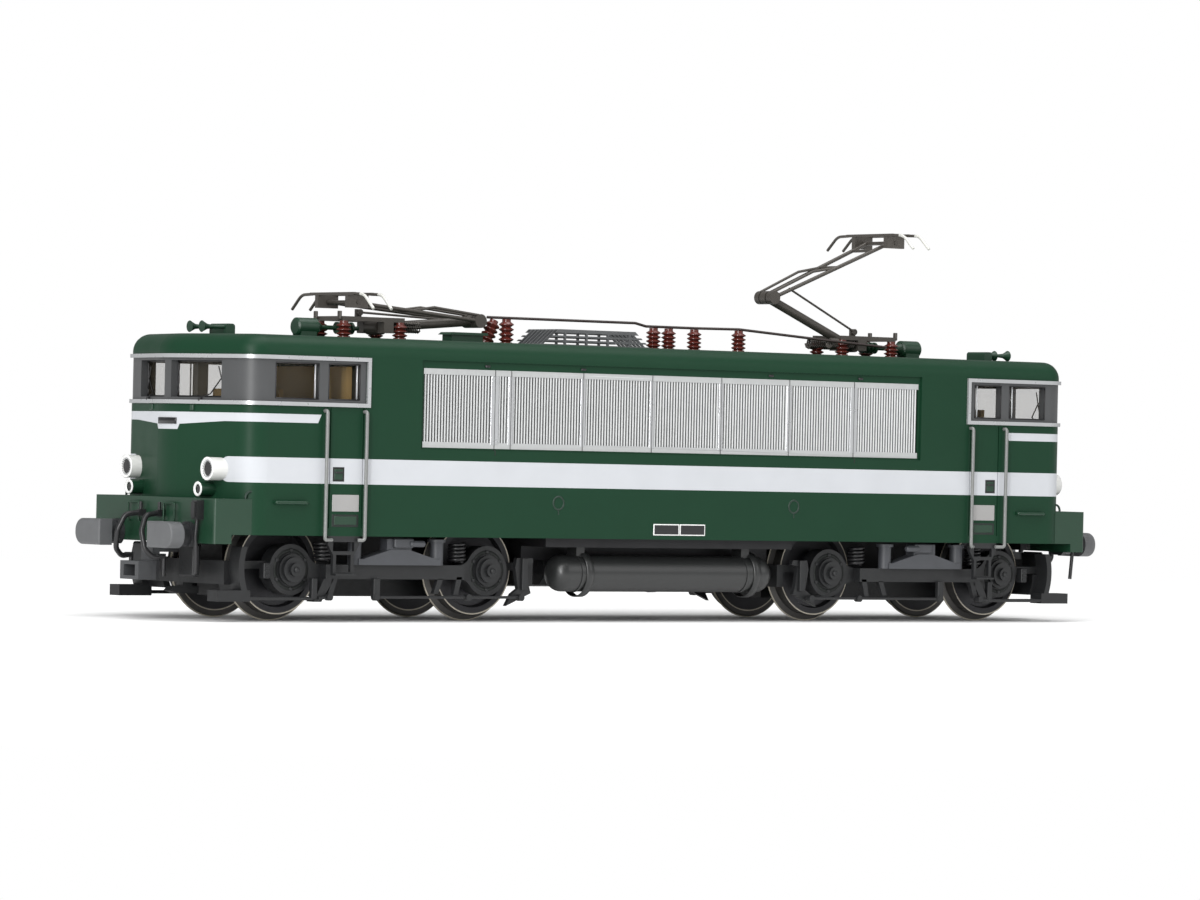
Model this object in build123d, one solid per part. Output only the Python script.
"""Model electric locomotive, four axles, 1:87 scale.

Frame: X along the locomotive, Y across it, Z up. Every shape is drawn with z = 0 at the
rail head; save() lifts it by the flange depth, so the wheel flanges stand on z = 0.
End 1 is the -X end, end 2 the +X end; "right" is the -Y side, "left" the +Y side.
"""
from build123d import *
import math
import os

os.makedirs("parts", exist_ok=True)

# ---------------------------------------------------------------- driving dimensions, mm
LENGTH_OVER_BUFFERS = 186.0
PIVOT_X = 52.87               # bogie pivot from the middle
HALF_WHEELBASE = 18.39        # axle from its bogie pivot
TREAD_R = 7.185
FLANGE_DEPTH = 1.0
BACK_TO_BACK = 14.4
WHEEL_WIDTH = 2.7
FLANGE_WIDTH = 0.8
AXLE_R = 1.0

BODY_NOSE_X = 85.9
BODY_HALF_WIDTH = 17.55
BODY_BOTTOM = 12.2
ROOF_TOP = 42.6
NOSE_RAKE = 0.2415            # how fast the two halves of the nose fall back from the middle
NOSE_RADIUS = 12.0
CORNER_RADIUS = 4.0
ROOF_EDGE_RADIUS = 2.8
WALL = 1.4

BAND_BOTTOM = 32.25           # window band let into the shell
BAND_TOP = 39.05
BAND_END_X = 60.7
BAND_INSET = 0.1
TRIM_HEIGHT = 0.6
TRIM_PROUD = 0.4
PANE_BOTTOM = 32.85
PANE_TOP = 38.45
SIDE_PANE = (69.5, 77.3)
DOOR_PANE = (61.9, 67.6)
FRONT_PANE = (0.9, 11.3)
GLASS = 0.6

LOUVRE_HALF_LENGTH = 49.8
LOUVRE_BOTTOM = 26.0
LOUVRE_TOP = 38.2
LOUVRE_BAND = 0.9
LOUVRE_PITCH = 0.545
LOUVRE_DEPTH = 0.35
LOUVRE_BACK = 0.3
RECESS_DEPTH = 0.35
RECESS_MARGIN_X = 0.5
RECESS_TOP = 39.4
RECESS_BOTTOM = 25.7

DOOR_GAPS = (61.1, 67.2)
DOOR_GAP_WIDTH = 0.2
DOOR_GAP_DEPTH = 0.2
DOOR_SILL = 13.4

BEAM_BACK_X = 79.4
BEAM_FACE_BACK_X = 84.3
BEAM_FACE_X = 87.4
BEAM_HALF_WIDTH = 16.9
BEAM_TOP = 17.6
BEAM_FACE_BOTTOM = 10.8

BUFFER_Y = 10.1
BUFFER_Z = 12.0
BUFFER_HEAD_THICK = 2.4
BUFFER_HEAD_INNER_Y = 6.7
BUFFER_HEAD_OUTER_Y = 13.7
BUFFER_HEAD_HEIGHT = 4.0
BUFFER_SHANK_R = 1.7

HEADLIGHT_Y = 11.43
HEADLIGHT_Z = 22.05
HEADLIGHT_R = 1.75
HEADLIGHT_LENS_R = 1.15
HEADLIGHT_FRONT_X = 85.3
MARKER_Y = 9.7
MARKER_Z = 18.95
MARKER_R = 1.1
MARKER_LENS_R = 0.72
MARKER_FRONT_X = 85.8
HOSE_Y = 2.6
HOSE_R = 0.42
GRAB_LOOP_Y = 5.0
GRAB_LOOP_HALF = 1.5
LAMP_ROOT = 2.6               # how far a lamp body runs back from its face

HANDRAIL_X = (61.0, 68.3)
HANDRAIL_R = 0.28
HANDRAIL_STANDOFF = 0.8
HANDRAIL_TOP = 31.2
HANDRAIL_FOOT = 11.6

STEP_X = 64.3
STEP_TOP_HALF = 2.9           # half width of a step frame at its top
STEP_FOOT_HALF = 1.9
STEP_WAIST_Z = 9.9
STEP_FOOT_Z = 6.2
STEP_THICK = 0.6
STEP_BAR = 0.55
STEP_TREAD = 1.6

CHASSIS_HALF_WIDTH = 15.9
CHASSIS_HALF_LENGTH = 24.8
CHASSIS_TOP = 29.0
CHASSIS_EDGE_BOTTOM = 10.8
CHASSIS_KEEL_HALF_WIDTH = 9.4
CHASSIS_KEEL_BOTTOM = 8.6
BRIDGE_HALF_WIDTH = 8.5
BRIDGE_BOTTOM = 20.6
BRIDGE_TOP = 26.4
NOSE_BLOCK = (80.6, 82.0)
NOSE_BLOCK_BOTTOM = 10.95

MOTOR_R = 5.8
MOTOR_HALF_LENGTH = 8.5
MOTOR_BOSS = (2.2, 0.7)       # radius and length of its end bosses
MOTOR_BAY_HALF_LENGTH = 21.2
SHAFT_R = 0.9
FLYWHEEL_R = 5.4
FLYWHEEL_LENGTH = 6.5
FLYWHEEL_GAP = 1.0
CUP_R = 2.1
CUP_BORE_R = 1.55
CUP_FLOOR = 0.8
CUP_GRIP = 1.2                # ball centre behind the cup's mouth
CARDAN_BALL_R = 1.1
CARDAN_SHANK_R = 0.65
RUN_CLEAR = 0.04              # radial clearance of a running fit
BODY_CLEAR = 0.3              # air between pieces that move past each other

GEAR_MODULE = 0.5
AXLE_TEETH = 18
IDLER_TEETH = 19
WORM_WHEEL_TEETH = 18
GEAR_WIDTH = 2.4
GEAR_RISE = 1.0               # each gear of the train stands this much above its neighbour
WORM_R = 2.2
WORM_HALF_LENGTH = 4.5
IDLER_PIN_R = 0.7
MESH_GAP = 0.04

GEARBOX_HALF_WIDTH = 3.4
GEARBOX_WALL = 1.1
GEARBOX_HALF_LENGTH = HALF_WHEELBASE + 5.81
GEARBOX_BOTTOM = 3.2
GEARBOX_END_TOP = 14.0
TOWER_HALF_LENGTH = 11.2
TOWER_TOP = 18.9
PIVOT_BOSS_R = 3.2
PIVOT_BOSS_TOP = 20.3
PIVOT_PIN_R = 1.5
COVER_THICK = 0.6

FRAME_INNER_Y = 10.9
FRAME_ARM_Y = 13.6
FRAME_BEAM_Y = 15.2
FRAME_BEAM_BOTTOM = 5.6
FRAME_BEAM_TOP = 7.8
FRAME_BEAM_HALF = 13.0
AXLEBOX_Z = 6.95
AXLEBOX_R = 3.9
HUB_RADII = (2.4, 1.9, 1.0)
HUB_STEP = 0.55
CROSSBEAM_OUTER_X = HALF_WHEELBASE + 11.31  # outer face of the crossbeam at the end of the body
CROSSBEAM_INNER_X = HALF_WHEELBASE + 9.81   # the same at the middle of the locomotive
CROSSBEAM_THICK = 1.3
CROSSBEAM_HALF_WIDTH = 12.4
CROSSBEAM_BOTTOM = 4.6
CROSSBEAM_TOP = 8.2
CROSSBEAM_ARM_BOTTOM = 7.0

SUSP_HALF_LENGTH = 6.6
SUSP_INNER_Y = 13.8
SUSP_OUTER_Y = 16.3
SUSP_END_TOP = 8.8
SUSP_APEX_TOP = 10.2
SUSP_HEAD_TOP = 11.8
DAMPER_X = 7.7
DAMPER_R = 1.05

ROD_Z = 2.6
ROD_Y = 14.9
ROD_R = 0.28
ROD_OUTER_X = HALF_WHEELBASE + 14.21
ROD_INNER_X = HALF_WHEELBASE - 3.99
HANGER_Y = (CROSSBEAM_HALF_WIDTH, 15.2)
SHOE_THICK = 1.0

COUPLER_PIVOT_X = 80.9
COUPLER_BAR_TOP = 10.4
COUPLER_BAR_BOTTOM = 9.2
COUPLER_PIN_R = 0.9
POCKET_FRONT_X = 91.6
POCKET_BACK_X = 88.4
POCKET_HALF_WIDTH = 2.6
POCKET_BOTTOM = 5.0
POCKET_TOP = 7.8
POCKET_SLOT_HALF_WIDTH = 1.6
POCKET_SLOT_HEIGHT = 1.7

TANK_HALF_LENGTH = 21.8
TANK_Y = 12.9
TANK_Z = 6.65
TANK_R = 2.9
TANK_STRAP_X = (15.8, 17.4)

INSULATOR_R = 1.2
INSULATOR_CORE_R = 0.7
CABLE_R = 0.22
BUSBAR_Z = 46.9
SPAN_Z = 46.2                 # top of the low insulators
GRILLE = (-17.6, 4.2)
GRILLE_HALF_WIDTH = 4.2
GRILLE_HEIGHT = 2.75
GRILLE_SLOPE = 3.3
GRILLE_WIRE = 0.35

HORN_SHIFT = 2.0              # the horns of end 2 sit this much nearer their end

DRIVE_R = 1.4
DRIVE_LENGTH = 4.0
DRIVE_CYLINDER_X = (58.4, 59.9)  # inner end of the air cylinder at end 1 and at end 2
DRIVE_BELLOWS_X = -54.6

PANTO_PIVOT_X = (47.2, 48.8)     # main shaft of pantograph 1 and of pantograph 2
PANTO_PIVOT_Z = 44.6
LOWER_ARM = 19.0
UPPER_ARM = 25.5
LOWER_ARM_R = 0.75
UPPER_TUBE_R = 0.32
KNEE_HALF_WIDTH = 2.1
KNEE_R = 1.1
KNEE_PIN_R = 0.45
BASE_SHAFT_R = 0.5
ROD_SIDE_Y = 1.07              # the control rod runs beside the lower arm
ROD_PIN_R = 0.25
HEAD_SPREAD = 3.0             # half distance of the two upper tubes at the head
ROD_FOOT = (2.2, 2.3)         # control rod's foot from the lower pivot, outwards and up
ROD_LENGTH = 15.8
LOWERED_ANGLE = 4.8           # both arms above level when the pantograph is down
RAISED_ANGLE = 22.8
LOWERED_ROD_ANGLE = -2.2
RAISED_ROD_ANGLE = 25.4
BASE_FEET_X = (44.8, 55.4)
BASE_FEET_Y = 3.3
BASE_RAIL = (45.4, 46.1)
HEAD_HALF_WIDTH = 11.2
HEAD_STRIP_HALF = 6.0
HEAD_STRIP_SPACING = 1.7
HEAD_STRIP = (0.5, 0.45)      # strip width and height

# ---------------------------------------------------------------- worked-out sizes
AXLE_Z = TREAD_R
AXLE_GEAR_R = GEAR_MODULE * AXLE_TEETH / 2
IDLER_GEAR_R = GEAR_MODULE * IDLER_TEETH / 2
WORM_WHEEL_R = GEAR_MODULE * WORM_WHEEL_TEETH / 2
IDLER_X = HALF_WHEELBASE / 2
IDLER_Z = AXLE_Z + GEAR_RISE
WORM_WHEEL_Z = IDLER_Z + GEAR_RISE
WORM_Z = WORM_WHEEL_Z + WORM_WHEEL_R + WORM_R + MESH_GAP
CORNER_X = BODY_NOSE_X - NOSE_RAKE * BODY_HALF_WIDTH
WHEEL_BACK_Y = BACK_TO_BACK / 2
WHEEL_FACE_Y = WHEEL_BACK_Y + WHEEL_WIDTH
LOUVRE_THICK = LOUVRE_BACK + LOUVRE_DEPTH
LOUVRE_FACE_Y = BODY_HALF_WIDTH - RECESS_DEPTH
CUP_DEPTH = CUP_GRIP + CARDAN_BALL_R + BODY_CLEAR
CUP_LENGTH = CUP_DEPTH + CUP_FLOOR
FLYWHEEL_X = MOTOR_HALF_LENGTH + MOTOR_BOSS[1] + FLYWHEEL_GAP / 2
MOTOR_CUP_X = FLYWHEEL_X + FLYWHEEL_LENGTH
CARDAN_MOTOR_X = MOTOR_CUP_X + CUP_LENGTH - CUP_GRIP
WORM_CUP_OFFSET = TOWER_HALF_LENGTH + BODY_CLEAR
CARDAN_WORM_X = PIVOT_X - WORM_CUP_OFFSET - CUP_LENGTH + CUP_GRIP


# ---------------------------------------------------------------- helpers
def block(x, y, z):
    """Box between two corners given as (low, high) pairs."""
    centre = Pos((x[0] + x[1]) / 2, (y[0] + y[1]) / 2, (z[0] + z[1]) / 2)
    return centre * Box(abs(x[1] - x[0]), abs(y[1] - y[0]), abs(z[1] - z[0]))


def rod_x(x, y, z, radius):
    return Pos((x[0] + x[1]) / 2, y, z) * Rot(0, 90, 0) * Cylinder(radius, abs(x[1] - x[0]))


def rod_y(x, y, z, radius):
    return Pos(x, (y[0] + y[1]) / 2, z) * Rot(90, 0, 0) * Cylinder(radius, abs(y[1] - y[0]))


def rod_z(x, y, z, radius):
    return Pos(x, y, (z[0] + z[1]) / 2) * Cylinder(radius, abs(z[1] - z[0]))


def bar(start, end, radius):
    """Straight round bar between two points."""
    line = Line(start, end)
    return sweep(Plane(origin=line @ 0, z_dir=line % 0) * Circle(radius), path=line)


def wire(points, radius, bend):
    """Round wire along straight runs joined by arcs."""
    path = FilletPolyline(*points, radius=bend)
    return sweep(Plane(origin=path @ 0, z_dir=path % 0) * Circle(radius), path=path)


def side_profile(points, y):
    """Solid from an outline in the X-Z plane, between two values of Y."""
    face = make_face(Polyline(*[(px, 0, pz) for px, pz in points], close=True))
    return Pos(0, max(y), 0) * extrude(face, abs(y[1] - y[0]), dir=(0, -1, 0))


def turned(profile, axis=Axis.Z):
    """Solid of revolution from (radius, height) points about Z."""
    face = make_face(Polyline(*[(r, 0, h) for r, h in profile], close=True))
    return revolve(face, axis)


def turned_x(x, z, profile):
    """A turned solid along +X from x; the profile is (radius, distance) pairs."""
    return Pos(x, 0, z) * Rot(0, 90, 0) * turned(profile)


def mirror_x(shape):
    return mirror(shape, about=Plane.YZ)


def mirror_y(shape):
    return mirror(shape, about=Plane.XZ)


def both_sides(shape):
    return [shape, mirror_y(shape)]


def four_corners(shape):
    return both_sides(shape) + both_sides(mirror_x(shape))


def save(name, *shapes):
    solids = [solid for shape in shapes for solid in shape.solids()]
    lifted = [Pos(0, 0, FLANGE_DEPTH) * solid for solid in solids]
    whole = lifted[0] if len(lifted) == 1 else Compound(children=lifted)
    export_step(whole, f"parts/{name}.step")


def save_ends(name, shape):
    """Writes NAME_1 at the -X end and its mirror image NAME_2 at the +X end."""
    save(f"{name}_1", shape)
    save(f"{name}_2", mirror_x(shape))


def save_pair(name, *shapes):
    """Writes one node with the pieces of end 1 and their mirror images at end 2."""
    save(name, *shapes, *[mirror_x(shape) for shape in shapes])


# ---------------------------------------------------------------- body shell
def body_plan(grow=0.0):
    """Plan outline of the body, moved out by grow."""
    outline = Polyline(
        (BODY_NOSE_X, 0), (CORNER_X, BODY_HALF_WIDTH), (-CORNER_X, BODY_HALF_WIDTH),
        (-BODY_NOSE_X, 0), (-CORNER_X, -BODY_HALF_WIDTH), (CORNER_X, -BODY_HALF_WIDTH),
        close=True)
    face = make_face(outline)
    noses = [v for v in face.vertices() if abs(v.Y) < 1]
    face = fillet(noses, NOSE_RADIUS)
    corners = [v for v in face.vertices() if abs(v.Y) > BODY_HALF_WIDTH - 0.01]
    face = fillet(corners, CORNER_RADIUS)
    if grow:
        face = make_face(offset(face.faces()[0].outer_wire(), grow))
    return face


def prism(grow, bottom, top):
    return Pos(0, 0, bottom) * extrude(body_plan(grow), top - bottom)


def ring(outer, inner, bottom, top):
    return prism(outer, bottom, top) - prism(inner, bottom - 1, top + 1)


def round_top(solid, radius):
    return fillet(solid.faces().sort_by(Axis.Z)[-1].edges(), radius)


def end_zone(x_from, bottom, top):
    """Space of the -X end beyond x_from, to cut a ring down to one cab."""
    reach = BODY_NOSE_X + 5
    return block((-reach, -x_from), (-reach, reach), (bottom, top))


def body_shell():
    outer = round_top(prism(0, BODY_BOTTOM, ROOF_TOP), ROOF_EDGE_RADIUS)
    cavity = prism(-WALL, BODY_BOTTOM - 1, ROOF_TOP - WALL)
    shell = outer - round_top(cavity, ROOF_EDGE_RADIUS - WALL)
    band = end_zone(BAND_END_X, BAND_BOTTOM, BAND_TOP)
    shell -= [band, mirror_x(band)]
    recess_x = LOUVRE_HALF_LENGTH + RECESS_MARGIN_X
    recess = block((-recess_x, recess_x), (-BODY_HALF_WIDTH - 1, -LOUVRE_FACE_Y),
                   (RECESS_BOTTOM, RECESS_TOP))
    pocket = block((-LOUVRE_HALF_LENGTH, LOUVRE_HALF_LENGTH),
                   (-LOUVRE_FACE_Y, -LOUVRE_FACE_Y + LOUVRE_THICK), (LOUVRE_BOTTOM, LOUVRE_TOP))
    shell -= both_sides(recess) + both_sides(pocket)
    for gap_x in DOOR_GAPS:
        gap = block((gap_x - DOOR_GAP_WIDTH / 2, gap_x + DOOR_GAP_WIDTH / 2),
                    (-BODY_HALF_WIDTH - 1, -BODY_HALF_WIDTH + DOOR_GAP_DEPTH),
                    (DOOR_SILL, BAND_BOTTOM - TRIM_HEIGHT))
        shell -= four_corners(gap)
    return shell


def louvre_panel():
    """Corrugated side grille: a saw-tooth plan profile between two flat bands."""
    face_y = -LOUVRE_FACE_Y
    count = int(2 * LOUVRE_HALF_LENGTH / LOUVRE_PITCH)
    start = -count * LOUVRE_PITCH / 2
    ridges = []
    for k in range(count):
        ridges.append((start + k * LOUVRE_PITCH, face_y + LOUVRE_DEPTH))
        ridges.append((start + (k + 0.5) * LOUVRE_PITCH, face_y))
    ridges.append((-start, face_y + LOUVRE_DEPTH))
    back = face_y + LOUVRE_THICK
    outline = [(-LOUVRE_HALF_LENGTH, back), (-LOUVRE_HALF_LENGTH, face_y + LOUVRE_DEPTH)]
    outline += ridges + [(LOUVRE_HALF_LENGTH, face_y + LOUVRE_DEPTH), (LOUVRE_HALF_LENGTH, back)]
    slats = extrude(make_face(Polyline(*outline, close=True)), LOUVRE_TOP - LOUVRE_BOTTOM - 2 * LOUVRE_BAND)
    slats = Pos(0, 0, LOUVRE_BOTTOM + LOUVRE_BAND) * slats
    span = (-LOUVRE_HALF_LENGTH, LOUVRE_HALF_LENGTH)
    low = block(span, (face_y, back), (LOUVRE_BOTTOM, LOUVRE_BOTTOM + LOUVRE_BAND))
    high = block(span, (face_y, back), (LOUVRE_TOP - LOUVRE_BAND, LOUVRE_TOP))
    return slats + low + high


# ---------------------------------------------------------------- cab windows, drawn at end 1
def pane_cutters(depth):
    """Through cuts for the two windscreens and the side and door windows."""
    z = (PANE_BOTTOM, PANE_TOP)
    cutters = []
    for y0, y1 in (FRONT_PANE, (-FRONT_PANE[1], -FRONT_PANE[0])):
        cutters.append(block((-BODY_NOSE_X - 2, -BODY_NOSE_X + 6), (y0, y1), z))
    for x0, x1 in (SIDE_PANE, DOOR_PANE):
        for side in (-1, 1):
            y = sorted((side * (BODY_HALF_WIDTH - depth), side * (BODY_HALF_WIDTH + 1)))
            cutters.append(block((-x1, -x0), y, z))
    return cutters


def window_band():
    band = ring(-BAND_INSET, -WALL, BAND_BOTTOM, BAND_TOP) & end_zone(BAND_END_X, BAND_BOTTOM, BAND_TOP)
    return band - pane_cutters(3 * WALL)


def window_trim():
    """Bright frame round the window band: two rails and an upright at each rear end."""
    top = ring(TRIM_PROUD, 0, BAND_TOP - TRIM_HEIGHT / 3, BAND_TOP + TRIM_HEIGHT * 2 / 3)
    low = ring(TRIM_PROUD, 0, BAND_BOTTOM - TRIM_HEIGHT * 2 / 3, BAND_BOTTOM + TRIM_HEIGHT / 3)
    zone = end_zone(BAND_END_X - TRIM_HEIGHT, BAND_BOTTOM - TRIM_HEIGHT, BAND_TOP + TRIM_HEIGHT)
    upright = ring(TRIM_PROUD, 0, BAND_BOTTOM, BAND_TOP) & block(
        (-BAND_END_X, -BAND_END_X + TRIM_HEIGHT), (-30, 30), (BAND_BOTTOM, BAND_TOP))
    return (top & zone) + (low & zone) + upright


def glazing():
    rise = 0.8
    zone = end_zone(BAND_END_X - rise, BAND_BOTTOM - rise, BAND_TOP + rise)
    return ring(-WALL, -WALL - GLASS, BAND_BOTTOM - rise, BAND_TOP + rise) & zone


def cab_interior():
    """One moulding: floor, rear wall, desk and seat."""
    floor_z = BRIDGE_TOP + BODY_CLEAR
    inner = prism(-WALL - GLASS - BODY_CLEAR, floor_z, BAND_TOP - 1)
    inner &= end_zone(BAND_END_X + 1.2, floor_z, BAND_TOP)
    floor = inner & end_zone(0, floor_z, floor_z + 0.9)
    rear_wall = inner & block((-BAND_END_X - 2.2, -BAND_END_X - 1.2), (-20, 20), (floor_z, BAND_TOP))
    desk = inner & side_profile([(-79.5, floor_z), (-76.5, floor_z), (-75.2, 31.6), (-77.6, 32.2),
                                 (-85.0, 32.2), (-85.0, floor_z)], (-20, 20))
    seat = block((-73.6, -70.4), (-9.2, -5.6), (floor_z, 30.2))
    seat += block((-71.2, -70.4), (-9.2, -5.6), (30.2, 34.4))
    return floor + rear_wall + desk + seat + mirror_y(seat)


# ---------------------------------------------------------------- buffer beam, drawn at end 1
def buffer_beam():
    wings = block((-BEAM_FACE_BACK_X, -BEAM_BACK_X), (-BEAM_HALF_WIDTH, BEAM_HALF_WIDTH),
                  (BODY_BOTTOM, BEAM_TOP))
    face = block((-BEAM_FACE_X, -BEAM_FACE_BACK_X), (-BEAM_HALF_WIDTH, BEAM_HALF_WIDTH),
                 (BEAM_FACE_BOTTOM, BEAM_TOP))
    face = fillet(face.edges().filter_by(Axis.Z).group_by(Axis.X)[0], 0.5)
    return wings + face - prism(0.02, BEAM_FACE_BOTTOM - 1, BEAM_TOP + 1)


def buffer():
    """Head with a straight inner edge and a round outer edge, on a stepped shank."""
    head_back = -LENGTH_OVER_BUFFERS / 2 + BUFFER_HEAD_THICK
    radius = BUFFER_HEAD_HEIGHT / 2
    head = block((-LENGTH_OVER_BUFFERS / 2, head_back), (-BUFFER_HEAD_OUTER_Y, -BUFFER_HEAD_INNER_Y),
                 (BUFFER_Z - radius, BUFFER_Z + radius))
    outer = [e for e in head.edges().filter_by(Axis.X) if e.center().Y < -BUFFER_Y]
    head = fillet(outer, radius * 0.95)
    rim = head.faces().sort_by(Axis.X)[0].edges()
    head = fillet(rim, 0.35)
    shank = rod_x((head_back, -BEAM_FACE_X), -BUFFER_Y, BUFFER_Z, BUFFER_SHANK_R)
    collar = rod_x((-BEAM_FACE_X - 0.8, -BEAM_FACE_X), -BUFFER_Y, BUFFER_Z, BUFFER_SHANK_R + 0.35)
    collar &= block((-100, 0), (-30, 0), (BEAM_FACE_BOTTOM - 0.6, BEAM_TOP))
    return head + shank + collar


def lamp_body(y, z, radius, lens_radius, front_x):
    """Lamp housing seated on the nose, with a dished seat for its lens."""
    body = rod_x((-front_x, -front_x + LAMP_ROOT), -y, z, radius)
    seat = rod_x((-front_x - 1, -front_x + 0.5), -y, z, lens_radius)
    return body - seat - prism(0.0, z - 3, z + 3)


def lamp_lens(y, z, radius, lens_radius, front_x):
    lens = rod_x((-front_x + 0.1, -front_x + 0.5), -y, z, min(radius, lens_radius))
    return fillet(lens.edges().sort_by(Axis.X)[0], 0.15)


def brake_hose(y):
    """Tap on the beam and a hose that loops forward, down and back, with its end fitting."""
    x = -BEAM_FACE_X
    tap = block((x - 1.2, x), (y - 0.45, y + 0.45), (14.6, 15.6))
    tap += rod_z(x - 0.7, y, (15.2, 16.8), 0.25)
    side = 1 if y > 0 else -1
    loop = wire([(x - 1.0, y, 15.1), (x - 3.3, y + side * 0.3, 14.8), (x - 4.3, y + side * 0.8, 12.4),
                 (x - 4.1, y + side * 1.5, 9.6), (x - 2.8, y + side * 1.9, 8.4),
                 (x - 1.6, y + side * 2.0, 8.6)], HOSE_R, 1.3)
    fitting = rod_z(x - 1.0, y + side * 2.0, (5.6, 9.0), 0.34)
    elbow = rod_x((x - 2.1, x - 0.9), y + side * 2.0, 8.6, 0.42)
    return tap + loop + elbow + fitting


def jumper_socket():
    """Multiple-unit jumper socket on the beam, with its cable hanging down to a clip."""
    x = -BEAM_FACE_X
    body = block((x - 1.3, x), (-13.9, -12.5), (14.4, 17.3))
    lid = block((x - 1.6, x - 1.3), (-13.7, -12.7), (14.7, 17.0))
    cable = wire([(x - 0.7, -13.2, 14.5), (x - 0.9, -13.1, 12.0), (x - 0.7, -13.0, 9.0),
                  (x - 0.6, -12.8, 6.2)], 0.3, 0.9)
    return body + lid + cable


def grab_loop(y):
    x = -BEAM_FACE_X
    low, high = y - GRAB_LOOP_HALF, y + GRAB_LOOP_HALF
    return wire([(x, low, 13.9), (x - 0.5, low, 13.9), (x - 0.5, low, 16.7), (x - 0.5, high, 16.7),
                 (x - 0.5, high, 13.9), (x, high, 13.9)], 0.16, 0.24)


# ---------------------------------------------------------------- body side fittings
def handrail(x):
    y = -BODY_HALF_WIDTH
    out = y - HANDRAIL_STANDOFF
    edge = STEP_X + math.copysign(STEP_TOP_HALF - 0.5, x - STEP_X)
    return wire([(-x, y, HANDRAIL_TOP), (-x, out, HANDRAIL_TOP), (-x, out, HANDRAIL_FOOT),
                 (-edge, y - HANDRAIL_R, HANDRAIL_FOOT)], HANDRAIL_R, HANDRAIL_STANDOFF / 2)


def side_grab():
    y = -BODY_HALF_WIDTH
    return wire([(-77.1, y, 17.2), (-77.1, y - 0.6, 17.2), (-71.5, y - 0.6, 17.2), (-71.5, y, 17.2)],
                0.26, 0.3)


def cab_step():
    """Step frame below a cab door: tapered uprights, a waist bar and two treads."""
    x = -STEP_X
    outline = [(x - STEP_TOP_HALF, BODY_BOTTOM), (x - STEP_TOP_HALF, STEP_WAIST_Z + 1),
               (x - STEP_FOOT_HALF, STEP_WAIST_Z - 0.6), (x - STEP_FOOT_HALF, STEP_FOOT_Z),
               (x + STEP_FOOT_HALF, STEP_FOOT_Z), (x + STEP_FOOT_HALF, STEP_WAIST_Z - 0.6),
               (x + STEP_TOP_HALF, STEP_WAIST_Z + 1), (x + STEP_TOP_HALF, BODY_BOTTOM)]
    y_out = -BODY_HALF_WIDTH
    frame = side_profile(outline, (y_out, y_out + STEP_THICK))
    inside = STEP_FOOT_HALF - STEP_BAR
    frame -= block((x - inside, x + inside), (-30, 0), (STEP_FOOT_Z + STEP_BAR, STEP_WAIST_Z - STEP_BAR))
    frame -= block((x - inside - 0.6, x + inside + 0.6), (-30, 0), (STEP_WAIST_Z, BODY_BOTTOM - 0.9))
    frame += block((x - STEP_FOOT_HALF, x + STEP_FOOT_HALF), (y_out - STEP_TREAD / 2, y_out + STEP_THICK),
                   (STEP_FOOT_Z, STEP_FOOT_Z + STEP_BAR / 2))
    return frame


# ---------------------------------------------------------------- chassis, drive line
def chassis_frame():
    span = (-CHASSIS_HALF_LENGTH, CHASSIS_HALF_LENGTH)
    frame = block(span, (-CHASSIS_HALF_WIDTH, CHASSIS_HALF_WIDTH), (CHASSIS_EDGE_BOTTOM, CHASSIS_TOP))
    keel = CHASSIS_KEEL_HALF_WIDTH
    frame += block(span, (-keel, keel), (CHASSIS_KEEL_BOTTOM, CHASSIS_EDGE_BOTTOM))
    bay = MOTOR_R + BODY_CLEAR
    frame -= block((-MOTOR_BAY_HALF_LENGTH, MOTOR_BAY_HALF_LENGTH), (-bay, bay),
                   (WORM_Z - bay, CHASSIS_TOP + 1))
    tunnel = CUP_R + 2 * BODY_CLEAR
    frame -= block((-CHASSIS_HALF_LENGTH - 1, CHASSIS_HALF_LENGTH + 1), (-tunnel, tunnel),
                   (WORM_Z - tunnel, BRIDGE_BOTTOM))
    bridge = block((-NOSE_BLOCK[1], -CHASSIS_HALF_LENGTH), (-BRIDGE_HALF_WIDTH, BRIDGE_HALF_WIDTH),
                   (BRIDGE_BOTTOM, BRIDGE_TOP))
    nose = block((-NOSE_BLOCK[1], -NOSE_BLOCK[0]), (-BRIDGE_HALF_WIDTH, BRIDGE_HALF_WIDTH),
                 (NOSE_BLOCK_BOTTOM, BRIDGE_BOTTOM))
    pivot = rod_z(-PIVOT_X, 0, (TOWER_TOP + 0.2, BRIDGE_BOTTOM), PIVOT_PIN_R)
    lug = block((-NOSE_BLOCK[1], -COUPLER_PIVOT_X + 1.8), (-2.4, 2.4),
                (COUPLER_BAR_TOP + 0.1, NOSE_BLOCK_BOTTOM + 0.6))
    pin = rod_z(-COUPLER_PIVOT_X, 0, (COUPLER_BAR_BOTTOM - 0.4, COUPLER_BAR_TOP + 0.1), COUPLER_PIN_R)
    end = bridge + nose + pivot + lug + pin
    return frame + end + mirror_x(end)


def motor_housing():
    can = rod_x((-MOTOR_HALF_LENGTH, MOTOR_HALF_LENGTH), 0, WORM_Z, MOTOR_R)
    for side in (-1, 1):
        boss = sorted((side * MOTOR_HALF_LENGTH, side * (MOTOR_HALF_LENGTH + MOTOR_BOSS[1])))
        can += rod_x(boss, 0, WORM_Z, MOTOR_BOSS[0])
    can -= rod_x((-MOTOR_HALF_LENGTH - 2, MOTOR_HALF_LENGTH + 2), 0, WORM_Z, SHAFT_R + RUN_CLEAR)
    for side in (-1, 1):
        flat = sorted((side * MOTOR_R * 0.86, side * MOTOR_R * 1.2))
        can -= block((-MOTOR_HALF_LENGTH, MOTOR_HALF_LENGTH), flat, (0, 40))
    return can


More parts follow.
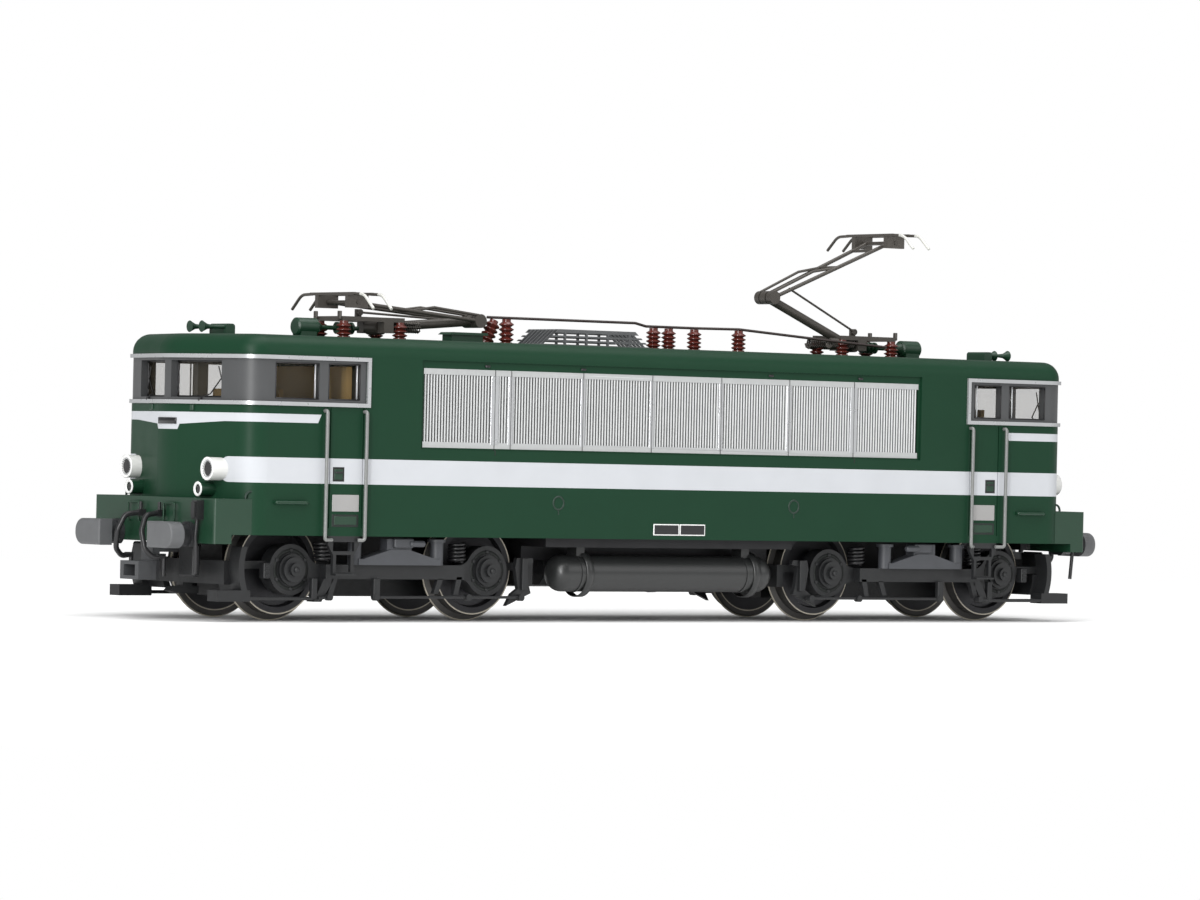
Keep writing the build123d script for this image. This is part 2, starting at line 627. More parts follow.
def cup(x_open, x_root):
    """Coupling cup on the shaft line, open at x_open."""
    wall = CUP_FLOOR if x_root > x_open else -CUP_FLOOR
    body = rod_x(sorted((x_open, x_root)), 0, WORM_Z, CUP_R)
    return body - rod_x(sorted((x_open - wall, x_root - wall)), 0, WORM_Z, CUP_BORE_R)


def motor_shaft():
    """Armature shaft with a flywheel and a coupling cup pressed on each end."""
    shaft = rod_x((-MOTOR_CUP_X, MOTOR_CUP_X), 0, WORM_Z, SHAFT_R)
    end = cup(MOTOR_CUP_X + CUP_LENGTH, MOTOR_CUP_X) + flywheel()
    return shaft + end + mirror_x(end)


def flywheel():
    wheel = rod_x((FLYWHEEL_X, FLYWHEEL_X + FLYWHEEL_LENGTH), 0, WORM_Z, FLYWHEEL_R)
    return chamfer(wheel.edges().filter_by(GeomType.CIRCLE), 0.4)


def cardan_shaft():
    """Shaft with a ball at each end that swings in the two coupling cups, end 1."""
    shank = rod_x((-CARDAN_WORM_X, -CARDAN_MOTOR_X), 0, WORM_Z, CARDAN_SHANK_R)
    balls = [Pos(x, 0, WORM_Z) * Sphere(CARDAN_BALL_R) for x in (-CARDAN_WORM_X, -CARDAN_MOTOR_X)]
    return shank + balls[0] + balls[1]


# ---------------------------------------------------------------- bogie, drawn about x = 0
def gear(teeth, width, bore):
    """Spur gear about Y; tooth tips stop just short of the pitch circle of the next gear."""
    tip = GEAR_MODULE * teeth / 2 - MESH_GAP / 2
    root = tip - 0.9 * GEAR_MODULE
    step = 2 * math.pi / teeth
    points = []
    for k in range(teeth):
        for share, radius in ((0.0, root), (0.28, root), (0.4, tip), (0.88, tip)):
            angle = (k + share) * step
            points.append((radius * math.cos(angle), radius * math.sin(angle)))
    blank = extrude(make_face(Polyline(*points, close=True)), width)
    blank = Rot(90, 0, 0) * blank
    blank = Pos(0, width / 2, 0) * blank
    if bore:
        blank -= rod_y(0, (-width, width), 0, bore)
    return blank


def wheel():
    """Right-hand wheel about Y: flange behind, coned dish and raised tyre in front."""
    flange_r = TREAD_R + FLANGE_DEPTH
    profile = [(AXLE_R, 0), (flange_r - 0.35, 0), (flange_r, 0.3), (flange_r, 0.45),
               (TREAD_R, FLANGE_WIDTH), (TREAD_R, WHEEL_WIDTH), (TREAD_R - 1.1, WHEEL_WIDTH),
               (TREAD_R - 1.4, WHEEL_WIDTH - 0.8), (2.1, WHEEL_WIDTH - 0.5), (1.9, WHEEL_WIDTH),
               (AXLE_R, WHEEL_WIDTH)]
    return Pos(0, -WHEEL_BACK_Y, 0) * Rot(90, 0, 0) * turned(profile)


def wheelset(centre_x):
    place = Pos(centre_x, 0, AXLE_Z)
    axle = rod_y(0, (-WHEEL_FACE_Y, WHEEL_FACE_Y), 0, AXLE_R)
    pieces = [axle, wheel(), Rot(0, 0, 180) * wheel(), gear(AXLE_TEETH, GEAR_WIDTH, AXLE_R)]
    return [place * piece for piece in pieces]


def gear_pin(x, z):
    """Pin pressed in the gearbox walls, on which one gear turns."""
    return rod_y(x, (-GEARBOX_HALF_WIDTH, GEARBOX_HALF_WIDTH), z, IDLER_PIN_R)


def gearbox():
    """Gear carrier: side walls and a tower for the worm, open below for the cover."""
    half = GEARBOX_HALF_WIDTH
    outline = [(-GEARBOX_HALF_LENGTH, GEARBOX_BOTTOM), (-GEARBOX_HALF_LENGTH, 10.4),
               (-GEARBOX_HALF_LENGTH + 2.2, GEARBOX_END_TOP), (-TOWER_HALF_LENGTH - 1.5, GEARBOX_END_TOP),
               (-TOWER_HALF_LENGTH, GEARBOX_END_TOP + 1.5), (-TOWER_HALF_LENGTH, TOWER_TOP - 0.8),
               (-TOWER_HALF_LENGTH + 0.8, TOWER_TOP)]
    outline += [(-px, pz) for px, pz in reversed(outline)]
    body = side_profile(outline, (-half, half))
    body += rod_z(0, 0, (TOWER_TOP - 0.5, PIVOT_BOSS_TOP), PIVOT_BOSS_R)
    body -= rod_z(0, 0, (TOWER_TOP, PIVOT_BOSS_TOP + 1), PIVOT_PIN_R + RUN_CLEAR)
    slot = GEAR_WIDTH / 2 + 0.25
    room = AXLE_GEAR_R + 0.5
    train = block((-HALF_WHEELBASE - room, HALF_WHEELBASE + room), (-slot, slot),
                  (GEARBOX_BOTTOM - 1, GEARBOX_END_TOP - 0.8))
    worm_room = WORM_R + BODY_CLEAR
    tower = block((-TOWER_HALF_LENGTH + GEARBOX_WALL, TOWER_HALF_LENGTH - GEARBOX_WALL),
                  (-worm_room, worm_room), (WORM_Z - worm_room, TOWER_TOP - 0.5))
    neck = block((-WORM_WHEEL_R - 0.5, WORM_WHEEL_R + 0.5), (-slot, slot),
                 (GEARBOX_BOTTOM, WORM_Z))
    body -= [train, tower, neck]
    body -= rod_x((-30, 30), 0, WORM_Z, SHAFT_R + RUN_CLEAR)
    for side in (-1, 1):
        cup_path = sorted((side * TOWER_HALF_LENGTH, side * (TOWER_HALF_LENGTH + 5)))
        body -= rod_x(cup_path, 0, WORM_Z, CUP_R + BODY_CLEAR)
        body -= rod_y(side * HALF_WHEELBASE, (-10, 10), AXLE_Z, AXLE_R + RUN_CLEAR)
        body += gear_pin(side * IDLER_X, IDLER_Z)
    return body + gear_pin(0, WORM_WHEEL_Z)


def gearbox_cover():
    """Plate that closes the gear train from below."""
    half = GEARBOX_HALF_WIDTH
    plate = block((-GEARBOX_HALF_LENGTH, GEARBOX_HALF_LENGTH), (-half, half),
                  (GEARBOX_BOTTOM - COVER_THICK, GEARBOX_BOTTOM))
    slot = GEAR_WIDTH / 2 + 0.25
    for side in (-1, 1):
        reach = sorted((side * (HALF_WHEELBASE - 4), side * (HALF_WHEELBASE + 4)))
        plate -= block(reach, (-slot, slot), (0, GEARBOX_BOTTOM))
    return plate


def worm_shaft(motor_side):
    """Worm on its shaft, with the coupling cup towards the motor; motor_side is +1 or -1."""
    cup_root = motor_side * WORM_CUP_OFFSET
    cup_open = cup_root + motor_side * CUP_LENGTH
    shaft = rod_x(sorted((cup_root, -motor_side * (TOWER_HALF_LENGTH + 0.6))), 0, WORM_Z, SHAFT_R)
    worm = rod_x((-WORM_HALF_LENGTH, WORM_HALF_LENGTH), 0, WORM_Z, WORM_R)
    worm = chamfer(worm.edges().filter_by(GeomType.CIRCLE), 0.3)
    return shaft + worm + cup(cup_open, cup_root)


def side_frame():
    """Right-hand frame: a deep middle beam that sweeps up over both axleboxes."""
    both = Pos(-HALF_WHEELBASE, 0) * Circle(AXLEBOX_R) + Pos(HALF_WHEELBASE, 0) * Circle(AXLEBOX_R)
    arm = Pos(0, AXLEBOX_Z) * both
    height = FRAME_BEAM_TOP - FRAME_BEAM_BOTTOM
    beam = Pos(0, (FRAME_BEAM_TOP + FRAME_BEAM_BOTTOM) / 2) * Rectangle(2 * HALF_WHEELBASE, height)
    shape = arm + beam
    inner = [v for v in shape.vertices() if abs(v.X) < HALF_WHEELBASE - 1]
    shape = fillet(inner, 2.4)
    plate = Rot(90, 0, 0) * extrude(shape, FRAME_ARM_Y - FRAME_INNER_Y)
    plate = Pos(0, -FRAME_INNER_Y, 0) * plate
    plate += block((-FRAME_BEAM_HALF, FRAME_BEAM_HALF), (-FRAME_BEAM_Y, -FRAME_ARM_Y + 0.1),
                   (FRAME_BEAM_BOTTOM, FRAME_BEAM_TOP))
    y = -FRAME_ARM_Y
    for side in (-1, 1):
        x = side * HALF_WHEELBASE
        for k, radius in enumerate(HUB_RADII):
            plate += rod_y(side * HALF_WHEELBASE, (y - (k + 1) * HUB_STEP, y + 0.1), AXLEBOX_Z, radius)
    return plate


def bogie_frame(outer):
    """Side frames joined by a crossbeam beyond each wheel pair and one at the middle."""
    frame = side_frame() + mirror_y(side_frame())
    width = (-CROSSBEAM_HALF_WIDTH, CROSSBEAM_HALF_WIDTH)
    for side, face_x in ((outer, CROSSBEAM_OUTER_X), (-outer, CROSSBEAM_INNER_X)):
        x = sorted((side * face_x, side * (face_x - CROSSBEAM_THICK)))
        frame += block(x, width, (CROSSBEAM_BOTTOM, CROSSBEAM_TOP))
        arm_x = sorted((side * face_x, side * HALF_WHEELBASE))
        arm = block(arm_x, (-CROSSBEAM_HALF_WIDTH, -FRAME_INNER_Y), (CROSSBEAM_ARM_BOTTOM, CROSSBEAM_TOP))
        frame += [arm, mirror_y(arm)]
    middle = block((-3.2, 3.2), (-FRAME_ARM_Y, FRAME_ARM_Y), (FRAME_BEAM_BOTTOM, FRAME_BEAM_TOP - 0.4))
    hole = block((-4, 4), (-GEARBOX_HALF_WIDTH, GEARBOX_HALF_WIDTH), (0, 20))
    return frame + (middle - hole)


def suspension():
    """Triangular equaliser with its top clamp and the damper at each end, right-hand side."""
    low = FRAME_BEAM_TOP
    y = (-SUSP_OUTER_Y, -SUSP_INNER_Y)
    tri = side_profile([(-SUSP_HALF_LENGTH, low), (SUSP_HALF_LENGTH, low), (SUSP_HALF_LENGTH, SUSP_END_TOP),
                        (1.6, SUSP_APEX_TOP), (-1.6, SUSP_APEX_TOP), (-SUSP_HALF_LENGTH, SUSP_END_TOP)], y)
    mid_y = -(SUSP_INNER_Y + SUSP_OUTER_Y) / 2
    clamp = block((-2.3, 2.3), (mid_y - 1.0, mid_y + 1.0), (SUSP_APEX_TOP - 0.2, SUSP_HEAD_TOP))
    clamp -= block((-1.2, 1.2), (-30, mid_y - 0.2), (SUSP_APEX_TOP + 0.3, SUSP_HEAD_TOP - 0.4))
    clamp += rod_y(0, (mid_y - 0.9, mid_y), (SUSP_APEX_TOP + SUSP_HEAD_TOP) / 2, 0.45)
    whole = tri + clamp
    for side in (-1, 1):
        whole += rod_z(side * DAMPER_X, mid_y, (low, SUSP_HEAD_TOP), DAMPER_R)
        cap = rod_z(side * DAMPER_X, mid_y, (SUSP_HEAD_TOP - 0.45, SUSP_HEAD_TOP), DAMPER_R + 0.35)
        whole += cap
        whole += block(sorted((side * (SUSP_HALF_LENGTH - 0.3), side * DAMPER_X)), y, (low, low + 0.9))
    return whole


def brake_gear(outer):
    """Brake hanger, shoes and pull rod of the outer wheel, right-hand side; outer is +1 or -1."""
    y0, y1 = -HANGER_Y[1], -HANGER_Y[0]
    wheel_x = outer * HALF_WHEELBASE
    gap = TREAD_R + FLANGE_DEPTH + BODY_CLEAR
    ring_out = Pos(wheel_x, AXLE_Z) * (Circle(gap + SHOE_THICK + 1.0) - Circle(gap + SHOE_THICK))
    keep = Pos(outer * (HALF_WHEELBASE + 9), AXLE_Z - 0.6) * Rectangle(10, 7.6)
    hanger = Rot(90, 0, 0) * extrude(ring_out & keep, y1 - y0)
    hanger = Pos(0, y1, 0) * hanger
    shoe_ring = Pos(wheel_x, AXLE_Z) * (Circle(gap + SHOE_THICK + 0.1) - Circle(gap))
    shoe_keep = Pos(outer * (HALF_WHEELBASE + 9), AXLE_Z - 2.0) * Rectangle(10, 3.4)
    shoe_y = (WHEEL_BACK_Y + 0.6, -y1 + 0.3)
    shoe = Rot(90, 0, 0) * extrude(shoe_ring & shoe_keep, shoe_y[1] - shoe_y[0])
    shoe = Pos(0, -shoe_y[0], 0) * shoe
    foot_x = sorted((outer * (CROSSBEAM_OUTER_X - 3), outer * ROD_OUTER_X))
    foot = block(foot_x, (y0, y1), (ROD_Z - 0.5, ROD_Z + 1.2))
    rod = rod_x(sorted((outer * ROD_OUTER_X, outer * ROD_INNER_X)), -ROD_Y, ROD_Z, ROD_R)
    inner = outer * ROD_INNER_X
    lever = side_profile([(inner - 0.7, ROD_Z - 0.5), (inner + 0.7, ROD_Z - 0.5),
                          (inner - outer * 2.0 + 0.9, FRAME_BEAM_BOTTOM),
                          (inner - outer * 2.0 - 0.9, FRAME_BEAM_BOTTOM)],
                         (-FRAME_BEAM_Y, -FRAME_ARM_Y + 0.4))
    return hanger + shoe + foot + rod + lever


def contact_brush():
    """Track-contact brush under the outer crossbeam of a bogie; drawn for end 1."""
    x = -CROSSBEAM_OUTER_X + 1.0
    stem = block((x - 0.9, x + 0.9), (-0.9, 0.9), (3.6, CROSSBEAM_BOTTOM))
    foot = side_profile([(x - 3.2, 3.3), (x - 2.6, 4.0), (x + 2.0, 4.0), (x + 2.0, 2.9), (x - 2.0, 2.9)],
                        (-0.9, 0.9))
    return stem + foot


def coupler():
    """Close-coupling bar on its pivot, dropping to a standard coupling pocket; end 1."""
    mid = (COUPLER_BAR_BOTTOM, COUPLER_BAR_TOP)
    neck = block((-POCKET_BACK_X, -COUPLER_PIVOT_X), (-1.3, 1.3), mid)
    eye = rod_z(-COUPLER_PIVOT_X, 0, mid, 1.75)
    drop = block((-POCKET_BACK_X - 0.1, -POCKET_BACK_X + 1.2), (-1.6, 1.6), (POCKET_BOTTOM, COUPLER_BAR_TOP))
    pocket = block((-POCKET_FRONT_X, -POCKET_BACK_X), (-POCKET_HALF_WIDTH, POCKET_HALF_WIDTH),
                   (POCKET_BOTTOM, POCKET_TOP))
    middle_z = (POCKET_BOTTOM + POCKET_TOP) / 2
    slot = block((-POCKET_FRONT_X - 1, -POCKET_BACK_X + 0.4),
                 (-POCKET_SLOT_HALF_WIDTH, POCKET_SLOT_HALF_WIDTH),
                 (middle_z - POCKET_SLOT_HEIGHT / 2, middle_z + POCKET_SLOT_HEIGHT / 2))
    bore = rod_z(-COUPLER_PIVOT_X, 0, (0, 20), COUPLER_PIN_R + RUN_CLEAR)
    return neck + eye + drop + pocket - slot - bore


# ---------------------------------------------------------------- underframe
def air_reservoir():
    """Long tank with domed ends and two straps, right-hand side."""
    tank = rod_x((-TANK_HALF_LENGTH, TANK_HALF_LENGTH), -TANK_Y, TANK_Z, TANK_R)
    tank = fillet(tank.edges().filter_by(GeomType.CIRCLE), TANK_R * 0.8)
    for side in (-1, 1):
        x = sorted(side * value for value in TANK_STRAP_X)
        tank += rod_x((x[0], x[0] + 0.4), -TANK_Y, TANK_Z, TANK_R + 0.12)
        saddle = block((x[0], x[1]), (-TANK_Y - 1.2, -TANK_Y + 1.2),
                       (TANK_Z + TANK_R - 0.6, CHASSIS_EDGE_BOTTOM))
        tank += saddle
    return tank


def equipment_boxes():
    """Battery and compressor boxes hung below the keel between the tanks."""
    top = CHASSIS_KEEL_BOTTOM
    low = block((-19, 19), (-7.6, 7.6), (4.6, top))
    low = chamfer(low.edges().filter_by(Axis.X).group_by(Axis.Z)[0], 1.2)
    ends = block((-22.4, 22.4), (-6.0, 6.0), (6.2, top))
    return low + ends


# ---------------------------------------------------------------- roof gear
def insulator(height, sheds, radius=INSULATOR_R):
    """Ribbed insulator standing on z = 0: a core with conical sheds and a metal cap."""
    pitch = (height - 0.9) / sheds
    profile = [(0, 0), (INSULATOR_CORE_R + 0.3, 0), (INSULATOR_CORE_R + 0.3, 0.4)]
    for k in range(sheds):
        base = 0.45 + k * pitch
        profile += [(INSULATOR_CORE_R, base), (radius, base + pitch * 0.45), (radius, base + pitch * 0.6)]
    profile += [(INSULATOR_CORE_R, height - 0.4), (INSULATOR_CORE_R, height), (0, height)]
    return turned(profile)


def roof_insulators():
    """Busbar supports along the roof, from end 1 to end 2: position, lean and height."""
    low = SPAN_Z - ROOF_TOP
    stands = [(-26.0, 0, 4.2, 25), (-21.8, 0, BUSBAR_Z - ROOF_TOP - CABLE_R, 0), (7.8, 0, low, 0),
              (10.9, 0, low, 0), (16.2, 0, low, 0), (22.6, -3.6, low, 0)]
    pieces = []
    for x, y, height, lean in stands:
        pieces.append(Pos(x, y, ROOF_TOP) * Rot(0, lean, 0) * insulator(height, 4))
    pieces[0] = pieces[0] - block((-40, 0), (-5, 5), (ROOF_TOP - 3, ROOF_TOP))
    return pieces


def roof_cable():
    """High-voltage line: over the grille, along the insulators and down to pantograph 2."""
    span = SPAN_Z + CABLE_R + 0.02
    line = [(-25.6, 0, BUSBAR_Z), (4.0, 0, BUSBAR_Z), (6.2, 0, span), (16.2, 0, span),
            (22.6, -3.6, span), (41.5, -4.6, 45.1), (53.0, -4.8, 44.4)]
    return wire(line, CABLE_R, 0.8)


def roof_grille():
    """Wire cage over the resistor fans: a trapezoid hood with long slots between its bars."""
    x0, x1 = GRILLE
    top = ROOF_TOP + GRILLE_HEIGHT
    outer = side_profile([(x0, ROOF_TOP), (x0 + GRILLE_SLOPE, top),
                          (x1 - GRILLE_SLOPE, top), (x1, ROOF_TOP)],
                         (-GRILLE_HALF_WIDTH, GRILLE_HALF_WIDTH))
    w = GRILLE_WIRE
    inner = side_profile([(x0 + w * 1.4, ROOF_TOP - 0.01), (x0 + GRILLE_SLOPE + w * 0.6, top - w),
                          (x1 - GRILLE_SLOPE - w * 0.6, top - w), (x1 - w * 1.4, ROOF_TOP - 0.01)],
                         (-GRILLE_HALF_WIDTH + w, GRILLE_HALF_WIDTH - w))
    cage = outer - inner
    bays = 5
    bay = (x1 - x0 - w) / bays
    rows = 8
    pitch = (2 * GRILLE_HALF_WIDTH - w) / rows
    slots = []
    for k in range(bays):
        x = (x0 + w + k * bay, x0 + (k + 1) * bay)
        for row in range(rows):
            y = -GRILLE_HALF_WIDTH + w + row * pitch
            slots.append(block(x, (y, y + pitch - w * 0.7), (ROOF_TOP + w, top + 1)))
        for row in range(3):
            z = (ROOF_TOP + w + row * 0.7, ROOF_TOP + w + row * 0.7 + 0.42)
            slots += both_sides(block(x, (-10, -GRILLE_HALF_WIDTH + w), z))
    return cage - slots


def ventilator():
    box = block((-36.4, -30.4), (-5.6, -3.0), (ROOF_TOP, ROOF_TOP + 1.2))
    lid = side_profile([(-37.0, ROOF_TOP + 1.2), (-29.6, ROOF_TOP + 1.2),
                        (-29.8, ROOF_TOP + 1.6), (-36.4, ROOF_TOP + 1.6)],
                       (-6.0, -2.6))
    return box + lid


def twin_horn():
    """Two trumpets side by side on a common foot, pointing out over end 1."""
    profile = [(0, 0), (0.9, 0), (0.75, 0.25), (0.4, 1.0), (0.28, 2.2), (0.28, 4.6), (0, 4.6)]
    trumpet = Rot(0, 90, 0) * turned(profile)
    z = ROOF_TOP + 1.15
    foot = block((-76.6, -74.9), (-2.3, 2.3), (ROOF_TOP, ROOF_TOP + 1.7))
    foot = fillet(foot.edges().filter_by(Axis.Y).group_by(Axis.Z)[-1], 0.5)
    return foot + Pos(-80.6, -1.7, z) * trumpet + Pos(-80.6, 1.7, z) * trumpet


def pantograph_drive(cylinder_x):
    """Green air cylinder on its saddle, with the ribbed insulated push rod; cylinder_x is its
    inner end, for end 1."""
    z = ROOF_TOP + 1.7
    back = cylinder_x - DRIVE_LENGTH
    body = rod_x((back, cylinder_x), 0, z, DRIVE_R)
    body = chamfer(body.edges().filter_by(GeomType.CIRCLE), 0.25)
    body += turned_x(cylinder_x - 0.1, z, [(0, 0), (1.1, 0), (0.45, 1.1), (0, 1.1)])
    body += block((back + 0.5, cylinder_x - 0.6), (-1.2, 1.2), (ROOF_TOP, z))
    rod = rod_x((cylinder_x + 0.7, DRIVE_BELLOWS_X + 4.1), 0, z, 0.35)
    for k in range(4):
        rib = DRIVE_BELLOWS_X + k * 0.85
        rod += rod_x((rib, rib + 0.4), 0, z, 0.95)
    return body + rod


# ---------------------------------------------------------------- pantographs
# Each piece is drawn with its own pivot at the origin and its far end towards +X, level.
def lower_arm():
    tube = rod_x((0, LOWER_ARM), 0, 0, LOWER_ARM_R)
    boss = rod_y(0, (-1.7, 1.7), 0, 1.15)
    knee = rod_y(LOWER_ARM, (-0.7, 0.7), 0, KNEE_R)
    bores = [rod_y(LOWER_ARM, (-3, 3), 0, KNEE_PIN_R + RUN_CLEAR),
             rod_y(0, (-3, 3), 0, BASE_SHAFT_R + RUN_CLEAR)]
    return tube + boss + knee - bores


def upper_arm():
    """A-frame of two tubes from the knee to the head, braced part-way."""
    arm = rod_y(0, (-KNEE_HALF_WIDTH, KNEE_HALF_WIDTH), 0, KNEE_PIN_R)
    for side in (-1, 1):
        y0 = side * (0.7 + BODY_CLEAR)
        y = sorted((y0, side * KNEE_HALF_WIDTH))
        arm += rod_y(0, y, 0, KNEE_R)
        start = (0, side * 1.7, 0)
        end = (UPPER_ARM, side * HEAD_SPREAD, 0)
        arm += bar(start, end, UPPER_TUBE_R)
        brace_end = (UPPER_ARM * 0.55, side * (1.7 + (HEAD_SPREAD - 1.7) * 0.55), 0)
        arm += bar((0.3, side * 1.7, 0.9), (UPPER_ARM * 0.36, side * 1.9, 1.1), 0.22)
        arm += bar((UPPER_ARM * 0.36, side * 1.9, 1.1), brace_end, 0.22)
    for share in (0.55, 0.86):
        half = 1.7 + (HEAD_SPREAD - 1.7) * share
        arm += rod_y(UPPER_ARM * share, (-half, half), 0, 0.25)
    arm += rod_y(UPPER_ARM, (-HEAD_SPREAD - 1.7, HEAD_SPREAD + 1.7), 0, UPPER_TUBE_R)
    return arm


def control_rod():
    """Thin rod from the base to the upper arm; its upper end hangs beside one tube."""
    rod = rod_x((0, ROD_LENGTH), ROD_SIDE_Y, 0, 0.18)
    eye = rod_y(0, (ROD_SIDE_Y - 0.18, ROD_SIDE_Y + 0.18), 0, 0.5)
    return rod + eye - rod_y(0, (0, 3), 0, ROD_PIN_R + RUN_CLEAR)


def pantograph_head():
    """Two contact strips with down-curved horns, on spring boxes round the head shaft."""
    lift = 1.5
    width, height = HEAD_STRIP
    head = None
    for side in (-1, 1):
        x = side * HEAD_STRIP_SPACING
        strip = block((x - width / 2, x + width / 2), (-HEAD_STRIP_HALF, HEAD_STRIP_HALF),
                      (lift - height, lift))
        for flank in (-1, 1):
            horn = wire([(x, flank * (HEAD_STRIP_HALF - 0.4), lift - 0.25), (x, flank * 8.6, lift - 0.35),
                         (x, flank * HEAD_HALF_WIDTH, lift - 2.6)], 0.24, 2.6)
            strip += horn
        head = strip if head is None else head + strip
    for flank in (-1, 1):
        y = sorted((flank * (HEAD_SPREAD + 0.7), flank * (HEAD_SPREAD + 1.6)))
        box = block((-1.9, 1.9), y, (-0.9, lift - 0.3))
        head += box - rod_y(0, (-9, 9), 0, UPPER_TUBE_R + RUN_CLEAR)
    return head


def pantograph_base(pivot_x):
    """Base frame on four insulators, with the main shaft at -pivot_x and the control rod's bracket."""
    x0, x1 = -BASE_FEET_X[1], -BASE_FEET_X[0]
    z = BASE_RAIL
    half = 0.45
    frame = None
    for side in (-1, 1):
        y = (side * BASE_FEET_Y - half, side * BASE_FEET_Y + half)
        rail = block((x0 - 0.6, x1 + 0.6), y, z)
        frame = rail if frame is None else frame + rail
        cheek_y = sorted((side * (1.7 + BODY_CLEAR), side * (BASE_FEET_Y + half)))
        frame += block((-pivot_x - 0.9, -pivot_x + 0.9), cheek_y, (PANTO_PIVOT_Z - 0.9, z[1]))
    frame += block((x0 - 0.6, x0 + 0.3), (-BASE_FEET_Y, BASE_FEET_Y), z)
    frame += rod_y(-pivot_x, (-BASE_FEET_Y, BASE_FEET_Y), PANTO_PIVOT_Z, BASE_SHAFT_R)
    foot_x = -pivot_x - ROD_FOOT[0]
    foot_z = PANTO_PIVOT_Z + ROD_FOOT[1]
    cheek_y = ROD_SIDE_Y + BODY_CLEAR
    frame += block((foot_x - 0.5, foot_x + 0.5), (cheek_y, cheek_y + 0.5), (z[0], foot_z + 0.5))
    frame += block((foot_x - 0.5, foot_x + 0.5), (-BASE_FEET_Y, BASE_FEET_Y), (z[0], z[1] - 0.2))
    frame += rod_y(foot_x, (ROD_SIDE_Y - 0.2, cheek_y + 0.1), foot_z, ROD_PIN_R)
    return frame


def base_insulators():
    foot = insulator(BASE_RAIL[0] - ROOF_TOP, 3)
    return [Pos(-x, y, ROOF_TOP) * foot for x in BASE_FEET_X for y in (-BASE_FEET_Y, BASE_FEET_Y)]


def pantograph(end, arm_angle, rod_angle):
    """Places the four moving pieces of one pantograph; end is -1 or +1 along X."""
    def place(piece, reach, height, angle, inwards):
        """reach and height are measured from the roof middle, for end 1."""
        turn = Rot(0, -angle, 0) if inwards else Rot(0, angle, 0) * Rot(0, 0, 180)
        shape = Pos(-reach, 0, height) * turn * piece
        return shape if end < 0 else mirror_x(shape)

    lean = math.radians(arm_angle)
    number = 1 if end < 0 else 2
    pivot_x = PANTO_PIVOT_X[number - 1]
    knee_reach = pivot_x - LOWER_ARM * math.cos(lean)
    knee_z = PANTO_PIVOT_Z + LOWER_ARM * math.sin(lean)
    head_reach = knee_reach + UPPER_ARM * math.cos(lean)
    head_z = knee_z + UPPER_ARM * math.sin(lean)
    save(f"pantograph_lower_arm_{number}",
         place(lower_arm(), pivot_x, PANTO_PIVOT_Z, arm_angle, True))
    save(f"pantograph_upper_arm_{number}", place(upper_arm(), knee_reach, knee_z, arm_angle, False))
    save(f"pantograph_control_rod_{number}",
         place(control_rod(), pivot_x + ROD_FOOT[0], PANTO_PIVOT_Z + ROD_FOOT[1], rod_angle, True))
    save(f"pantograph_head_{number}", place(pantograph_head(), head_reach, head_z, 0, False))
    print(f"pantograph {number}: knee x {end * knee_reach:.3f} z {knee_z + FLANGE_DEPTH:.3f},"
          f" head x {end * head_reach:.3f} z {head_z + FLANGE_DEPTH:.3f}")


# ---------------------------------------------------------------- write every sub-part
def write_body():
    save("body_shell", body_shell())
    save("louvre_panels", *both_sides(louvre_panel()))
    save_pair("window_bands", window_band())
    save_pair("window_trims", window_trim())
    save_pair("glazing", glazing())
    save_pair("cab_interiors", cab_interior())
    save_pair("buffer_beams", buffer_beam())
    save_pair("buffers", *both_sides(buffer()))
    lamps = [
        (HEADLIGHT_Y, HEADLIGHT_Z, HEADLIGHT_R, HEADLIGHT_LENS_R, HEADLIGHT_FRONT_X),
        (MARKER_Y, MARKER_Z, MARKER_R, MARKER_LENS_R, MARKER_FRONT_X)]
    save("lamp_housings", *[piece for lamp in lamps for piece in four_corners(lamp_body(*lamp))])
    save("lamp_lenses", *[piece for lamp in lamps for piece in four_corners(lamp_lens(*lamp))])
    save_pair("brake_hoses", brake_hose(HOSE_Y), brake_hose(-HOSE_Y), jumper_socket())
    rails = [rail for x in HANDRAIL_X for rail in four_corners(handrail(x))]
    loops = both_sides(grab_loop(GRAB_LOOP_Y))
    save("handrails", *rails, *four_corners(side_grab()), *loops, *[mirror_x(loop) for loop in loops])
    save("cab_steps", *four_corners(cab_step()))


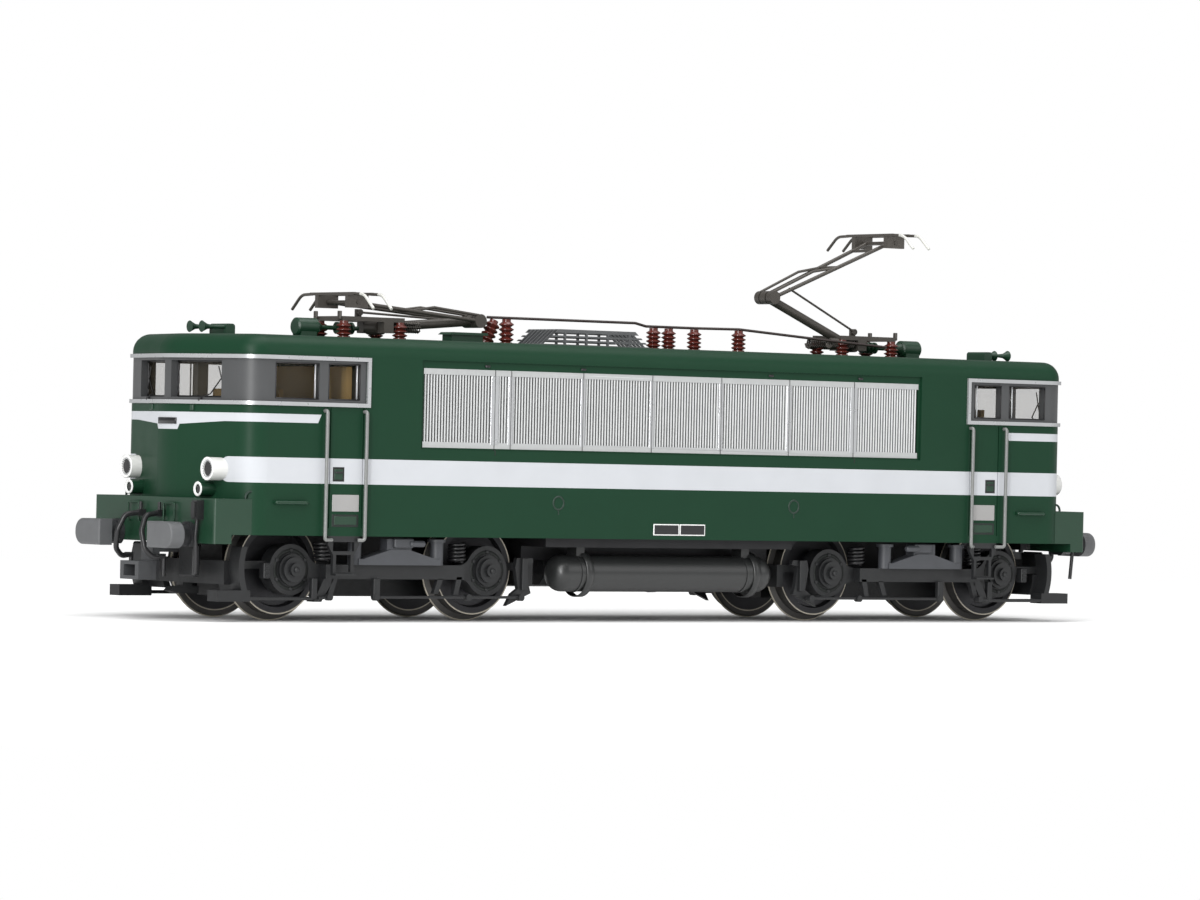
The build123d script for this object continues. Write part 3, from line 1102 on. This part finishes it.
def write_chassis():
    save("chassis_frame", chassis_frame())
    save("circuit_board", block((-52, 52), (-10.5, 10.5), (CHASSIS_TOP, CHASSIS_TOP + 1.0)))
    save("motor_housing", motor_housing())
    save("motor_shaft", motor_shaft())
    save_ends("cardan_shaft", cardan_shaft())
    save("air_reservoirs", *both_sides(air_reservoir()))
    save("equipment_boxes", equipment_boxes())
    save_ends("coupler", coupler())


def write_bogie(number):
    """Bogie 1 stands at -X; its outer axle points to -X. Bogie 2 is turned end for end."""
    outer = -1 if number == 1 else 1
    place = Pos(outer * PIVOT_X, 0, 0)
    save(f"bogie_gearbox_{number}", place * gearbox())
    save(f"gearbox_cover_{number}", place * gearbox_cover())
    save(f"worm_shaft_{number}", place * worm_shaft(-outer))
    bore = IDLER_PIN_R + RUN_CLEAR
    save(f"worm_wheel_{number}", place * Pos(0, 0, WORM_WHEEL_Z) * gear(WORM_WHEEL_TEETH, GEAR_WIDTH, bore))
    for role, side in (("outer", outer), ("inner", -outer)):
        idler = Pos(side * IDLER_X, 0, IDLER_Z) * gear(IDLER_TEETH, GEAR_WIDTH, bore)
        save(f"idler_gear_{role}_{number}", place * idler)
        save(f"wheelset_{role}_{number}", *[place * piece for piece in wheelset(side * HALF_WHEELBASE)])
    save(f"bogie_frame_{number}", place * bogie_frame(outer))
    save(f"suspension_{number}", *[place * piece for piece in both_sides(suspension())])
    brakes = [place * piece for piece in both_sides(brake_gear(outer))]
    brush = contact_brush() if outer < 0 else mirror_x(contact_brush())
    save(f"brake_gear_{number}", *brakes, place * brush)


def write_roof():
    far_insulators = [mirror_x(piece) for piece in base_insulators()]
    save("roof_insulators", *roof_insulators(), *base_insulators(), *far_insulators)
    save("roof_cable", roof_cable())
    save("roof_grille", roof_grille())
    save("roof_ventilator", ventilator())
    save("twin_horns", twin_horn(), Pos(HORN_SHIFT, 0, 0) * mirror_x(twin_horn()))
    drives = [pantograph_drive(-x) for x in DRIVE_CYLINDER_X]
    save("pantograph_drives", drives[0], mirror_x(drives[1]))
    save("pantograph_bases", pantograph_base(PANTO_PIVOT_X[0]), mirror_x(pantograph_base(PANTO_PIVOT_X[1])))
    pantograph(-1, LOWERED_ANGLE, LOWERED_ROD_ANGLE)
    pantograph(1, RAISED_ANGLE, RAISED_ROD_ANGLE)


write_body()
write_chassis()
write_bogie(1)
write_bogie(2)
write_roof()
